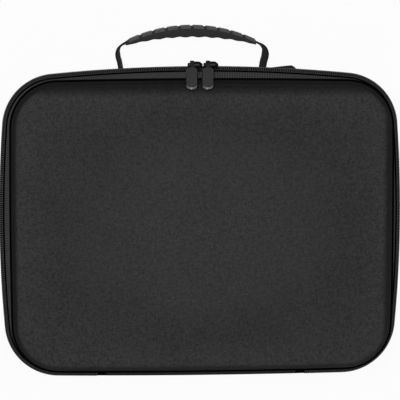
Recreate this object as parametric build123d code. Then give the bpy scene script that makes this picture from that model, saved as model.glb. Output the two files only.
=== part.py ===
from build123d import *
import os
from math import asin, atan2, cos, degrees, hypot, radians, sin, sqrt, tan

# Zip-round carry case for a compact game console, lying on its back.
# X runs to the right, Y towards the handle and Z out through the lid's face.
# The origin is the centre of the flat back. Sizes are millimetres.

# Zip ring, the widest outline of the case, with barrel-shaped sides
case_width = 371.0
case_height = 288.0
case_corner_radius = 50.0
case_top_radius = 1420.0
case_side_radius = 1160.0
case_bottom_radius = 7000.0

# Front panel of the lid, inside the seam
panel_width = 353.0
panel_height = 268.0
panel_corner_radius = 42.0
panel_top_radius = 6000.0
panel_side_radius = 5000.0
panel_bottom_radius = 9000.0
panel_drop = 2.0

# Depths of the two moulded halves, measured from the zip plane
rear_depth = 88.0
lid_depth = 26.0
seam_height = 14.0
wall = 5.0
lip_gap = 4.0
rim_height = 16.0
rear_draft = 5.5
back_edge_radius = 22.0
cavity_bevel = 10.0
face_edge_radius = 9.0

# Zipper: two woven tapes, two coils and the fabric hinge between their ends
tape_thickness = 0.9
tape_reach = 14.0
tape_edge_gap = 0.4
coil_thickness = 2.0
coil_height = 3.7
coil_gap = 0.15
chain_slope = 3.6
hinge_half_width = 88.0
hinge_thickness = 1.2
end_tab_length = 8.0
end_tab_thickness = 1.5
end_tab_reach = 12.0
piece_gap = 0.2

# Edge binding and the piping in the panel seam
binding_thickness = 0.8
binding_reach = 10.0
piping_height = 1.6
piping_groove = 0.6
piping_reach = 1.4

# Sliders, which meet near the middle of the top run
slider_length = 14.0
slider_width = 10.0
slider_plate = 1.4
slider_corner_radius = 3.0
slider_bevel = 0.5
slider_clearance = 0.3
slider_flange = 1.4
slider_flange_drop = 1.2
slider_meet_x = 0.8
slider_meet_gap = 0.5
bail_radius = 0.7
bail_height = 5.6
bail_forward = 4.2
ear_thickness = 1.2
ear_radius = 1.3
ear_spacing = 8.0

# Pull tabs: a metal link on the bail, with a rubber tab moulded round it
link_bore_radius = 0.9
link_eye_radius = 1.6
link_width = 3.6
link_thickness = 1.0
link_length = 20.5
tab_start = 8.5
tab_length = 31.5
tab_width = 10.2
tab_thickness = 2.8
tab_corner_radius = 4.4
tab_bevel = 0.9
tab_offset = -2.0
tab_clearance = 0.4
tab_farthest_x = 123.0

# Handle: webbing through a moulded grip, sewn down to the rear half
handle_x = -6.0
handle_behind_zip = 42.0
grip_rise = 36.0
grip_length = 123.0
grip_arc_radius = 180.0
grip_width = 24.0
grip_end_width = 20.5
grip_taper_length = 18.0
grip_thickness = 11.2
grip_end_thickness = 4.8
grip_bevel = 1.2
rib_count = 9
rib_pitch = 12.0
rib_groove_radius = 1.3
scallop_count = 9
scallop_pitch = 12.0
scallop_radius = 8.0
scallop_depth = 0.8
webbing_width = 17.0
webbing_thickness = 2.0
webbing_clearance = 0.1
webbing_overhang = 8.0
webbing_bend_radius = 6.0
strap_base_x = 66.0
patch_length = 24.0
patch_width = 25.0
patch_inset = 4.0
patch_thickness = 1.6

# Foam tray in the rear half and mesh pocket in the lid
tray_clearance = 0.3
tray_drop = 18.0
bay_depth = 56.0
bay_corner_radius = 8.0
console_bay = (282.0, 158.0)
controller_bay = (162.0, 68.0)
cable_bay = (104.0, 68.0)
bay_wall = 8.0
bay_bottom_margin = 14.0
console_strap_width = 38.0
console_strap_thickness = 1.5
console_strap_overlap = 6.0
pocket_thickness = 0.8
pocket_height = 5.0
pocket_top_y = 30.0
elastic_width = 8.0
elastic_thickness = 1.6

# Places that follow from the sizes above
zip_z = rear_depth
face_z = zip_z + lid_depth
seam_z = zip_z + seam_height
rim_z = zip_z - rim_height
coil_inset = coil_thickness
shell_inset = coil_thickness + tape_thickness
cavity_inset = shell_inset + wall
lid_inset = shell_inset + chain_slope
lid_cavity_inset = lid_inset + wall
arc_center_y = case_height / 2 - case_top_radius
handle_z = zip_z - handle_behind_zip
handle_wall_y = case_height / 2 - shell_inset - (rim_z - handle_z) * tan(radians(rear_draft))
tray_top_z = zip_z - tray_drop
big = 2 * case_width


def meet(top_radius, side_radius, width, height, inset):
    """Upper right point where the inset top arc and the inset side arc cross."""
    top_y = height / 2 - top_radius
    side_x = width / 2 - side_radius
    apart = hypot(side_x, top_y)
    along = ((top_radius - inset) ** 2 - (side_radius - inset) ** 2 + apart**2) / (2 * apart)
    across = sqrt((top_radius - inset) ** 2 - along**2)
    step_x = side_x / apart
    step_y = -top_y / apart
    return step_x * along + step_y * across, top_y + step_y * along - step_x * across


def barrel(width, height, corner, top, side, bottom, inset):
    """Rounded rectangle whose four sides are arcs, drawn inset from its full size."""
    upper_x, upper_y = meet(top, side, width, height, inset)
    lower_x, lower_y = meet(bottom, side, width, height, inset)
    half_width = width / 2 - inset
    half_height = height / 2 - inset
    sides = Curve() + [
        ThreePointArc((-upper_x, upper_y), (0, half_height), (upper_x, upper_y)),
        ThreePointArc((upper_x, upper_y), (half_width, 0), (lower_x, -lower_y)),
        ThreePointArc((lower_x, -lower_y), (0, -half_height), (-lower_x, -lower_y)),
        ThreePointArc((-lower_x, -lower_y), (-half_width, 0), (-upper_x, upper_y)),
    ]
    face = make_face(sides)
    return fillet(face.vertices(), corner - inset)


def ring(inset, z):
    """Outline of the zip ring, inset, at a height."""
    face = barrel(
        case_width, case_height, case_corner_radius,
        case_top_radius, case_side_radius, case_bottom_radius, inset,
    )
    return Pos(0, 0, z) * face


def panel(inset, z):
    """Outline of the lid's front panel, inset, at a height."""
    face = barrel(
        panel_width, panel_height, panel_corner_radius,
        panel_top_radius, panel_side_radius, panel_bottom_radius, inset,
    )
    return Pos(0, -panel_drop, z) * face


def ring_band(outer, inner, low, high):
    """Upright band that follows the zip ring between two insets."""
    return extrude(ring(outer, low) - ring(inner, low), amount=high - low)


def chain_band(outer, inner, low, high):
    """Band on the lid's side of the zip, which leans in towards the panel."""
    low_lean = chain_slope * (low - zip_z) / lip_gap
    high_lean = chain_slope * (high - zip_z) / lip_gap
    whole = loft([ring(outer + low_lean, low), ring(outer + high_lean, high)], ruled=True)
    return whole - loft([ring(inner + low_lean, low), ring(inner + high_lean, high)], ruled=True)


def lid_slope(grow):
    """Flared side of the lid, from its lip up to the panel seam."""
    lower = ring(lid_inset - grow, zip_z + lip_gap)
    return loft([lower, panel(-grow, seam_z)], ruled=True)


def rear_block(inset, floor, top):
    """Solid of the drafted rear half, inset, from a floor up to a level top; inside it is bevelled, not round."""
    rim = ring(shell_inset + inset, rim_z)
    drafted = extrude(rim, amount=rim_z - floor, dir=(0, 0, -1), taper=rear_draft)
    back_edges = drafted.edges().filter_by_position(Axis.Z, floor - 0.01, floor + 0.01)
    if inset > 0:
        drafted = chamfer(back_edges, cavity_bevel)
    else:
        drafted = fillet(back_edges, back_edge_radius - inset)
    if top <= rim_z:
        return drafted & Pos(0, 0, (floor + top) / 2) * Box(big, big, top - floor)
    return drafted + extrude(rim, amount=top - rim_z)


def bottom_box(half_width):
    """Block over the middle of the bottom run, where the fabric hinge is."""
    return Pos(0, -case_height / 2, zip_z) * Box(2 * half_width, case_height / 2, big)


def along_zip(piece, x):
    """Carries a piece from the middle of the top run to a place on its arc."""
    turn = -degrees(asin(x / case_top_radius))
    return Pos(0, arc_center_y) * Rot(0, 0, turn) * Pos(0, -arc_center_y) * piece


# Moulded halves
def make_rear_shell():
    outer = rear_block(0, 0, zip_z - lip_gap)
    cavity = rear_block(wall, wall, zip_z - lip_gap)
    return outer - cavity


def lid_cavity():
    lower = ring(lid_cavity_inset, zip_z + lip_gap)
    upper = panel(wall, seam_z)
    top = extrude(upper, amount=lid_depth - seam_height - wall)
    return loft([lower, upper], ruled=True) + top


def make_front_shell():
    neck = extrude(panel(piping_groove, seam_z), amount=piping_height)
    cap = extrude(panel(0, seam_z + piping_height), amount=lid_depth - seam_height - piping_height)
    cap = fillet(cap.faces().sort_by(Axis.Z)[-1].edges(), face_edge_radius)
    return lid_slope(0) + neck + cap - lid_cavity()


def make_face_piping():
    outline = panel(-piping_reach, seam_z) - panel(piping_groove, seam_z)
    return extrude(outline, amount=piping_height)


# Zipper, bindings and hinge
def make_rear_tape():
    band = ring_band(coil_inset, shell_inset, zip_z - tape_reach, zip_z - tape_edge_gap)
    return band - bottom_box(hinge_half_width + piece_gap)


def make_front_tape():
    band = chain_band(coil_inset, shell_inset, zip_z + tape_edge_gap, zip_z + lip_gap)
    slope = lid_slope(tape_thickness) - lid_slope(0)
    return band + slope - bottom_box(hinge_half_width + piece_gap)


def make_rear_coil():
    top = zip_z - coil_gap
    return ring_band(0, coil_inset, top - coil_height, top) - bottom_box(hinge_half_width + end_tab_length)


def make_front_coil():
    low = zip_z + coil_gap
    return chain_band(0, coil_inset, low, low + coil_height) - bottom_box(hinge_half_width + end_tab_length)


def make_rear_binding():
    lip_z = zip_z - lip_gap
    inner = cavity_inset + binding_thickness
    cap = ring_band(shell_inset, inner, lip_z, lip_z + binding_thickness)
    return cap + ring_band(cavity_inset, inner, lip_z - binding_reach, lip_z)


def make_front_binding():
    lip_z = zip_z + lip_gap
    return ring_band(lid_inset, lid_cavity_inset, lip_z - binding_thickness, lip_z)


def make_hinge_strip():
    outer = shell_inset - hinge_thickness
    rear = ring_band(outer, shell_inset, zip_z - tape_reach, zip_z)
    front = chain_band(outer, shell_inset, zip_z, zip_z + lip_gap)
    slope = lid_slope(hinge_thickness) - lid_slope(0)
    return (rear + front + slope) & bottom_box(hinge_half_width)


def make_end_tab(side):
    outer = shell_inset - hinge_thickness - end_tab_thickness
    inner = shell_inset - hinge_thickness
    band = ring_band(outer, inner, zip_z - end_tab_reach, zip_z - coil_gap)
    span = end_tab_length - piece_gap
    middle = side * (hinge_half_width + end_tab_length - piece_gap - span / 2)
    return band & Pos(middle, -case_height / 2, zip_z) * Box(span, case_height / 2, big)


# Sliders and pull tabs, drawn at the middle of the top run; a slider tilts half as far as the lid's chain leans
slider_tilt = atan2(chain_slope, lip_gap) / 2
bar_y = case_height / 2 + bail_height * cos(slider_tilt) - bail_forward * sin(slider_tilt)
bar_z = zip_z + bail_height * sin(slider_tilt) + bail_forward * cos(slider_tilt)
edge_inward = bar_y - (panel_height / 2 - panel_drop - face_edge_radius)
edge_forward = face_z - face_edge_radius - bar_z
tab_closing = tab_farthest_x**2 / 2 * (1 / case_top_radius - 1 / panel_top_radius)
tab_reach = face_edge_radius + tab_thickness / 2 + tab_closing + tab_clearance
tab_lean = atan2(edge_inward, edge_forward) - asin(tab_reach / hypot(edge_inward, edge_forward))
tab_plane = Plane(
    origin=(tab_offset, bar_y, bar_z), x_dir=(-1, 0, 0), z_dir=(0, cos(tab_lean), sin(tab_lean))
)


def make_slider():
    base_y = case_height / 2 + slider_clearance
    seat = Plane(origin=(0, base_y, zip_z), x_dir=(1, 0, 0), z_dir=(0, 1, 0))
    plate = extrude(seat * RectangleRounded(slider_length, slider_width, slider_corner_radius), slider_plate)
    plate = chamfer(plate.faces().sort_by(Axis.Y)[-1].edges(), slider_bevel)
    flange_z = zip_z + slider_width / 2 - slider_flange / 2
    flange_length = slider_length - 2 * slider_corner_radius
    flange = Box(flange_length, slider_flange_drop, slider_flange)
    flange = Pos(0, base_y - slider_flange_drop / 2, flange_z) * flange
    bail_y = case_height / 2 + bail_height
    bail_z = zip_z + bail_forward
    ear_height = bail_y - base_y
    ear = Pos(0, bail_y, bail_z) * Rot(0, 90, 0) * Cylinder(ear_radius, ear_thickness)
    ear += Pos(0, bail_y - ear_height / 2, bail_z) * Box(ear_thickness, ear_height, 2 * ear_radius)
    ear -= Pos(0, base_y - ear_radius, bail_z) * Box(slider_length, 2 * ear_radius, slider_width)
    ear_x = (ear_spacing + ear_thickness) / 2
    bar = Pos(0, bail_y, bail_z) * Rot(0, 90, 0) * Cylinder(bail_radius, ear_spacing)
    upright = plate + flange + Pos(-ear_x, 0, 0) * ear + Pos(ear_x, 0, 0) * ear + bar
    zip_line = Axis((0, case_height / 2, zip_z), (1, 0, 0))
    return upright.rotate(zip_line, degrees(slider_tilt))


def link_neck():
    return Pos(0, link_length / 2, 0) * Box(link_width, link_length, link_thickness)


def make_pull_link():
    eye = Rot(0, 90, 0) * Cylinder(link_eye_radius, link_width)
    bore = Rot(0, 90, 0) * Cylinder(link_bore_radius, link_width)
    return tab_plane * (eye + link_neck() - bore)


def make_pull_tab():
    outline = Pos(0, tab_start + tab_length / 2) * RectangleRounded(tab_width, tab_length, tab_corner_radius)
    slab = extrude(outline, amount=tab_thickness / 2, both=True)
    slab = chamfer(slab.edges().filter_by_position(Axis.Z, tab_thickness / 4, tab_thickness), tab_bevel)
    return tab_plane * (slab - link_neck())


# Handle
grip_mid_y = case_height / 2 + grip_rise - grip_thickness / 2
grip_axis_y = grip_mid_y - grip_arc_radius
grip_half_turn = degrees(asin(grip_length / 2 / grip_arc_radius))
grip_axis = Axis((handle_x, grip_axis_y, 0), (0, 0, 1))


def grip_arc(width, thickness, half_turn):
    """Bar of one section bent along the grip's arc."""
    section = Rectangle(thickness, width)
    start = Plane(origin=(handle_x, grip_mid_y, handle_z), x_dir=(0, 1, 0), z_dir=(1, 0, 0))
    bar = revolve(start * section, axis=grip_axis, revolution_arc=2 * half_turn)
    return bar.rotate(grip_axis, -half_turn)


def grip_edge(side):
    """Middle height, end height and radius of the grip's top edge (side 1) or under edge (side -1)."""
    drop = grip_arc_radius - sqrt(grip_arc_radius**2 - (grip_length / 2) ** 2)
    middle = grip_mid_y + side * grip_thickness / 2
    end = grip_mid_y - drop + side * grip_end_thickness / 2
    radius = ((grip_length / 2) ** 2 + (middle - end) ** 2) / (2 * (middle - end))
    return middle, end, radius


def on_edge(piece, side, x, lift):
    """Puts a piece on the grip's top or under edge, lifted along Y."""
    middle, end, radius = grip_edge(side)
    return Pos(handle_x + x, middle - radius + sqrt(radius**2 - x**2) + lift, handle_z) * piece


def make_grip():
    half_length = grip_length / 2
    top_middle, top_end, top_radius = grip_edge(1)
    under_middle, under_end = grip_edge(-1)[:2]
    side_view = make_face(Curve() + [
        ThreePointArc((-half_length, top_end), (0, top_middle), (half_length, top_end)),
        Line((half_length, top_end), (half_length, under_end)),
        ThreePointArc((half_length, under_end), (0, under_middle), (-half_length, under_end)),
        Line((-half_length, under_end), (-half_length, top_end)),
    ])
    grip = extrude(Pos(handle_x, 0, handle_z) * side_view, amount=grip_width / 2, both=True)
    shoulder = half_length - grip_taper_length
    plan = Polyline(
        (-half_length, grip_end_width / 2), (-shoulder, grip_width / 2), (shoulder, grip_width / 2),
        (half_length, grip_end_width / 2), (half_length, -grip_end_width / 2), (shoulder, -grip_width / 2),
        (-shoulder, -grip_width / 2), (-half_length, -grip_end_width / 2), close=True,
    )
    level = Plane(origin=(handle_x, grip_mid_y, handle_z), x_dir=(1, 0, 0), z_dir=(0, 1, 0))
    grip &= extrude(level * make_face(plan), amount=grip_length, both=True)
    rims = grip.edges().filter_by(lambda edge: edge.length > half_length)
    grip = chamfer(rims, grip_bevel)
    for number in range(rib_count):
        place = (number - (rib_count - 1) / 2) * rib_pitch
        grip -= on_edge(Cylinder(rib_groove_radius, 2 * grip_width), 1, place, 0)
    for number in range(scallop_count):
        place = (number - (scallop_count - 1) / 2) * scallop_pitch
        grip -= on_edge(Cylinder(scallop_radius, 2 * grip_width), -1, place, scallop_depth - scallop_radius)
    tunnel = grip_arc(
        webbing_width + 2 * webbing_clearance, webbing_thickness + 2 * webbing_clearance, grip_half_turn + 1
    )
    return grip - tunnel


def make_webbing():
    turn = radians(grip_half_turn)
    end_x = grip_length / 2
    end_y = grip_axis_y + grip_arc_radius * cos(turn)
    corner = (end_x + webbing_overhang * cos(turn), end_y - webbing_overhang * sin(turn))
    line = FilletPolyline(
        (end_x, end_y), corner, (strap_base_x, handle_wall_y - 2 * patch_thickness), radius=webbing_bend_radius
    )
    strap = extrude(trace(line, webbing_thickness), amount=webbing_width / 2, both=True)
    webbing = grip_arc(webbing_width, webbing_thickness, grip_half_turn)
    webbing += Pos(handle_x, 0, handle_z) * strap
    webbing += Pos(handle_x, 0, handle_z) * mirror(strap, Plane.YZ)
    return webbing - rear_block(-patch_thickness, 0, zip_z - lip_gap)


def make_patch(side):
    skin = rear_block(-patch_thickness, 0, zip_z - lip_gap) - rear_block(0, 0, zip_z - lip_gap)
    middle = handle_x + side * (strap_base_x - patch_inset + patch_length / 2)
    return skin & Pos(middle, case_height / 2, handle_z) * Box(patch_length, case_height / 2, patch_width)


# Inside
def bay(size, x, y):
    cut = RectangleRounded(size[0], size[1], bay_corner_radius)
    return extrude(Pos(x, y, tray_top_z - bay_depth) * cut, amount=bay_depth)


console_y = -case_height / 2 + shell_inset + wall + bay_bottom_margin + console_bay[1] / 2
upper_y = console_y + console_bay[1] / 2 + bay_wall + controller_bay[1] / 2
controller_x = -(bay_wall + cable_bay[0]) / 2
cable_x = (bay_wall + controller_bay[0]) / 2


def make_tray():
    block = rear_block(wall + tray_clearance, wall + tray_clearance, tray_top_z)
    block -= bay(console_bay, 0, console_y)
    block -= bay(controller_bay, controller_x, upper_y)
    return block - bay(cable_bay, cable_x, upper_y)


def make_console_strap():
    length = console_bay[1] + 2 * console_strap_overlap
    band = Box(console_strap_width, length, console_strap_thickness)
    return Pos(0, console_y, tray_top_z + console_strap_thickness / 2) * band


def make_mesh_pocket():
    low = zip_z + pocket_height
    slab = Pos(0, pocket_top_y - big / 2, low + pocket_thickness / 2) * Box(big, big, pocket_thickness)
    return lid_cavity() & slab


def make_pocket_elastic():
    low = zip_z + pocket_height
    bar = Pos(0, pocket_top_y + elastic_width / 2, low + elastic_thickness / 2)
    return lid_cavity() & bar * Box(big, elastic_width, elastic_thickness)


def build():
    left_x = slider_meet_x - (slider_length + slider_meet_gap) / 2
    right_x = slider_meet_x + (slider_length + slider_meet_gap) / 2
    return {
        "rear_shell": make_rear_shell(),
        "rear_zipper_tape": make_rear_tape(),
        "rear_zipper_coil": make_rear_coil(),
        "rear_rim_binding": make_rear_binding(),
        "front_shell": make_front_shell(),
        "front_zipper_tape": make_front_tape(),
        "front_zipper_coil": make_front_coil(),
        "front_rim_binding": make_front_binding(),
        "face_piping": make_face_piping(),
        "hinge_strip": make_hinge_strip(),
        "left_zipper_end_tab": make_end_tab(-1),
        "right_zipper_end_tab": make_end_tab(1),
        "left_slider": along_zip(make_slider(), left_x),
        "right_slider": along_zip(make_slider(), right_x),
        "left_pull_link": along_zip(make_pull_link(), left_x),
        "right_pull_link": along_zip(make_pull_link(), right_x),
        "left_pull_tab": along_zip(make_pull_tab(), left_x),
        "right_pull_tab": along_zip(make_pull_tab(), right_x),
        "handle_grip": make_grip(),
        "handle_webbing": make_webbing(),
        "left_anchor_patch": make_patch(-1),
        "right_anchor_patch": make_patch(1),
        "foam_tray": make_tray(),
        "console_strap": make_console_strap(),
        "mesh_pocket": make_mesh_pocket(),
        "mesh_pocket_elastic": make_pocket_elastic(),
    }


os.makedirs("parts", exist_ok=True)
for node, solid in build().items():
    export_step(solid, f"parts/{node}.step")
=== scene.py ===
from math import asin, atan2, cos, hypot, pi, radians, sin, sqrt, tan
import bpy
import numpy as np
from mathutils import Matrix, Vector


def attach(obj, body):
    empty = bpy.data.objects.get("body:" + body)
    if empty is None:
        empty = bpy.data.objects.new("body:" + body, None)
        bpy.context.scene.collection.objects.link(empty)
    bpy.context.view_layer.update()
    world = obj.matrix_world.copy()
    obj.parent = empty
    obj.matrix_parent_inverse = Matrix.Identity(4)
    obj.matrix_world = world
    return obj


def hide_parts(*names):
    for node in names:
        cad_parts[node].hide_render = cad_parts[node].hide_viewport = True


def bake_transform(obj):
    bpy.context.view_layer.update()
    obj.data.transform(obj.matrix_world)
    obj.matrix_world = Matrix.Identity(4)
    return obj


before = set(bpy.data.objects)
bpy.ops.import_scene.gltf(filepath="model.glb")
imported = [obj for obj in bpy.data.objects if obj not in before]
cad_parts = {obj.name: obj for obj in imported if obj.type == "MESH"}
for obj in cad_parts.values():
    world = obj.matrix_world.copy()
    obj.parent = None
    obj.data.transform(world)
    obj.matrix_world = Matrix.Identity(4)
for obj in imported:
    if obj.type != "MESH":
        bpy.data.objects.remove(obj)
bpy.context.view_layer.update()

# Zip-round carry case lying on its back, seen from above its lid.
MM = 0.001
WALL = 5.0
RIM_Z = 72.0
REAR_LIP_Z = 84.0
ZIP_Z = 88.0
LID_LIP_Z = 92.0
SEAM_Z = 102.0
PIPING_TOP_Z = 103.6
FACE_Z = 114.0
FACE_ROLL = 9.0
FACE_CROWN = 0.6
DRAFT_ANGLE = radians(5.5)
DRAFT = tan(DRAFT_ANGLE)
BACK_ROLL = 22.0
LINING_ROLL = 12.0
SHELL_INSET = 2.9
CAVITY_INSET = 7.9
CHAIN_SLOPE = 0.9
LID_INSET = 6.5
LID_CAVITY_INSET = 11.5
COIL_DEPTH = 2.0
HINGE_HALF = 88.0
END_TAB = 8.0
RING_HALF_HEIGHT = 144.0
RING_TOP_RADIUS = 1420.0
PANEL_HALF_HEIGHT = 134.0
PANEL_TOP_RADIUS = 6000.0
PANEL_DROP = 2.0


# Outlines of the case
def crossing(top, side, width, height, inset):
    """Where the inset top arc and the inset side arc of a barrel outline cross, upper right."""
    top_y = height / 2 - top
    side_x = width / 2 - side
    apart = hypot(side_x, top_y)
    along = ((top - inset) ** 2 - (side - inset) ** 2 + apart**2) / (2 * apart)
    across = sqrt((top - inset) ** 2 - along**2)
    return (side_x * along - top_y * across) / apart, top_y + (-top_y * along - side_x * across) / apart


class Outline:
    """Rounded rectangle with arched sides, walked from the bottom's middle towards the right and round.

    A place on it is an arc's number plus the share of that arc; insets keep the place's normal.
    """

    def __init__(self, width, height, corner, top, side, bottom, drop=0.0, shift=0.0):
        high_x, high_y = crossing(top, side, width, height, corner)
        low_x, low_y = crossing(bottom, side, width, height, corner)
        side_x = width / 2 - side
        top_turn = atan2(high_y - height / 2 + top, high_x)
        high_turn = atan2(high_y, high_x - side_x)
        low_turn = atan2(low_y, low_x - side_x)
        bottom_turn = atan2(low_y - height / 2 + bottom, low_x)
        self.arcs = np.array([
            (0, bottom - height / 2, bottom, -pi / 2, -bottom_turn),
            (low_x, -low_y, corner, -bottom_turn, -low_turn),
            (side_x, 0, side, -low_turn, high_turn),
            (high_x, high_y, corner, high_turn, top_turn),
            (0, height / 2 - top, top, top_turn, pi - top_turn),
            (-high_x, high_y, corner, pi - top_turn, pi - high_turn),
            (-side_x, 0, side, pi - high_turn, pi + low_turn),
            (-low_x, -low_y, corner, pi + low_turn, pi + bottom_turn),
            (0, bottom - height / 2, bottom, pi + bottom_turn, 3 * pi / 2),
        ])
        self.arcs[:, 0] += shift
        self.arcs[:, 1] -= drop
        spans = self.arcs[:, 2] * (self.arcs[:, 4] - self.arcs[:, 3])
        self.marks = np.concatenate([[0], np.cumsum(spans)])
        self.length = self.marks[-1]

    def even(self, start, end, count, closed=False):
        """Places at even distances along the outline."""
        return np.interp(np.linspace(start, end, count, endpoint=not closed), self.marks, range(10))

    def round(self, count):
        return self.even(0, self.length, count, closed=True)

    def loop(self, places, inset, z):
        """Points at these places, set in from the outline, at a height."""
        number = np.minimum(places.astype(int), 8)
        x, y, radius, start, end = self.arcs[number].T
        turn = start + (places - number) * (end - start)
        reach = radius - inset
        return np.stack([x + reach * np.cos(turn), y + reach * np.sin(turn), np.full(len(places), z)], axis=1)

    def above(self, x):
        """Places on the top run, by their distance from its middle."""
        radius, start, end = self.arcs[4, 2:]
        return 4 + (np.arccos(np.asarray(x) / radius) - start) / (end - start)

    def outward(self, places):
        return self.loop(places, -1.0, 0.0) - self.loop(places, 0.0, 0.0)


RING = Outline(371.0, 2 * RING_HALF_HEIGHT, 50.0, RING_TOP_RADIUS, 1160.0, 7000.0)
PANEL_SHAPE = (2 * PANEL_HALF_HEIGHT, 42.0, PANEL_TOP_RADIUS, 5000.0, 9000.0, PANEL_DROP)
PANEL = Outline(349.5, *PANEL_SHAPE, shift=0.8)
LID_INSIDE = Outline(353.0, *PANEL_SHAPE)


# Meshes
def make_object(name, points, faces, finish, body=None, smooth=True):
    mesh = bpy.data.meshes.new(name)
    mesh.from_pydata((np.asarray(points) * MM).tolist(), [], faces)
    mesh.polygons.foreach_set("use_smooth", [smooth] * len(faces))
    piece = bpy.data.objects.new(name, mesh)
    bpy.context.collection.objects.link(piece)
    mesh.materials.append(finish)
    if body:
        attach(piece, body)
    return piece


def skin(name, grid, finish, body=None, wrap=False, tube=False, caps=()):
    """Mesh over rows of points; wrap joins the last column to the first, tube the last row to the first.

    caps lists the rows that a flat face closes.
    """
    grid = np.asarray(grid, float)
    rows, columns = grid.shape[:2]
    row_steps = rows if tube else rows - 1
    column_steps = columns if wrap else columns - 1
    faces = []
    cloth = []
    along = np.roll(grid, -1, axis=1) - grid
    along = np.concatenate([[0], np.cumsum(np.linalg.norm(along, axis=2).mean(axis=0))])
    across = np.roll(grid, -1, axis=0) - grid
    across = np.concatenate([[0], np.cumsum(np.linalg.norm(across, axis=2).mean(axis=1))])
    for row in range(row_steps):
        for column in range(column_steps):
            ends = ((row, column), (row, column + 1), (row + 1, column + 1), (row + 1, column))
            faces.append([(r % rows) * columns + c % columns for r, c in ends])
            cloth.extend((along[c], across[r]) for r, c in ends)
    for row in caps:
        ends = [(row, column) for column in range(columns)]
        ends = ends if row else ends[::-1]
        faces.append([r * columns + c for r, c in ends])
        cloth.extend(grid[r, c, :2] for r, c in ends)
    piece = make_object(name, grid.reshape(-1, 3), faces, finish, body)
    layer = piece.data.uv_layers.new(name="cloth")
    layer.data.foreach_set("uv", np.array(cloth).ravel())
    return piece


def band(name, profile, places, finish, body, wrap=False):
    """Closed band round the case: the profile lists (outline, inset, height) round its section."""
    grid = [outline.loop(places, inset, z) for outline, inset, z in profile]
    if wrap:
        return skin(name, grid, finish, body, wrap=True, tube=True)
    around = np.swapaxes(np.array(grid), 0, 1)
    piece = skin(name, around, finish, body, wrap=True, caps=(0, len(places) - 1))
    swap_cloth(piece)
    return piece


def swap_cloth(piece):
    """Swaps along and across, for a band that was skinned from end to end."""
    layer = piece.data.uv_layers["cloth"].data
    cloth = np.empty(len(layer) * 2)
    layer.foreach_get("uv", cloth)
    layer.foreach_set("uv", cloth.reshape(-1, 2)[:, ::-1].ravel())


def oval(wide, high, steps=12):
    """Points round an oval, by its half width and half height."""
    turns = [2 * pi * step / steps for step in range(steps)]
    return [(wide * cos(turn), high * sin(turn)) for turn in turns]


def sharpen(piece, degrees=35):
    """Keeps edges crisp above an angle while the rest stays smooth."""
    piece.data.set_sharp_from_angle(angle=radians(degrees))


def soften(piece, width, segments=2):
    bevel = piece.modifiers.new("soft_edge", "BEVEL")
    bevel.width = width * MM
    bevel.segments = segments
    bevel.limit_method = "ANGLE"
    return piece


def stitches(name, marks, body, thick=0.34):
    """Thread stitches as short plump bars between pairs of points."""
    points = []
    faces = []
    for start, end in marks:
        start = np.array(start)
        end = np.array(end)
        ahead = (end - start) / np.linalg.norm(end - start)
        first = np.cross(ahead, (0.0, 0.0, 1.0) if abs(ahead[2]) < 0.9 else (1.0, 0.0, 0.0))
        first /= np.linalg.norm(first)
        second = np.cross(ahead, first)
        base = len(points)
        for share, size in ((0.0, 0.35), (0.18, 0.9), (0.5, 1.0), (0.82, 0.9), (1.0, 0.35)):
            for step in range(6):
                turn = step * pi / 3
                out = first * cos(turn) + second * sin(turn)
                points.append(start + (end - start) * share + out * thick * size)
        for ring_number in range(4):
            for step in range(6):
                one = base + ring_number * 6
                two = one + 6
                faces.append([one + step, one + (step + 1) % 6, two + (step + 1) % 6, two + step])
        faces.append([base + step for step in reversed(range(6))])
        faces.append([base + 24 + step for step in range(6)])
    return make_object(name, points, faces, THREAD, body)


# Finishes
class Strand:
    """One shader value; arithmetic on it adds Math nodes."""

    def __init__(self, finish, socket):
        self.finish = finish
        self.socket = socket

    def math(self, operation, first, second=0.0):
        return self.finish.node("ShaderNodeMath", {"operation": operation}, {0: first, 1: second})

    def __add__(self, other):
        return self.math("ADD", self, other)

    def __sub__(self, other):
        return self.math("SUBTRACT", self, other)

    def __rsub__(self, other):
        return self.math("SUBTRACT", other, self)

    def __mul__(self, other):
        return self.math("MULTIPLY", self, other)

    __radd__ = __add__
    __rmul__ = __mul__

    def wave(self, period):
        """A sine between 0 and 1 along this value."""
        return self.math("SINE", self * (2 * pi / period)) * 0.5 + 0.5

    def most(self, other):
        """The larger of two values."""
        return self.math("MAXIMUM", self, other)

    def between(self, low, high):
        """Eases from 0 at low to 1 at high."""
        settings = {"interpolation_type": "SMOOTHSTEP"}
        sockets = {"Value": self, "From Min": low, "From Max": high}
        return self.finish.node("ShaderNodeMapRange", settings, sockets)


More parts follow.
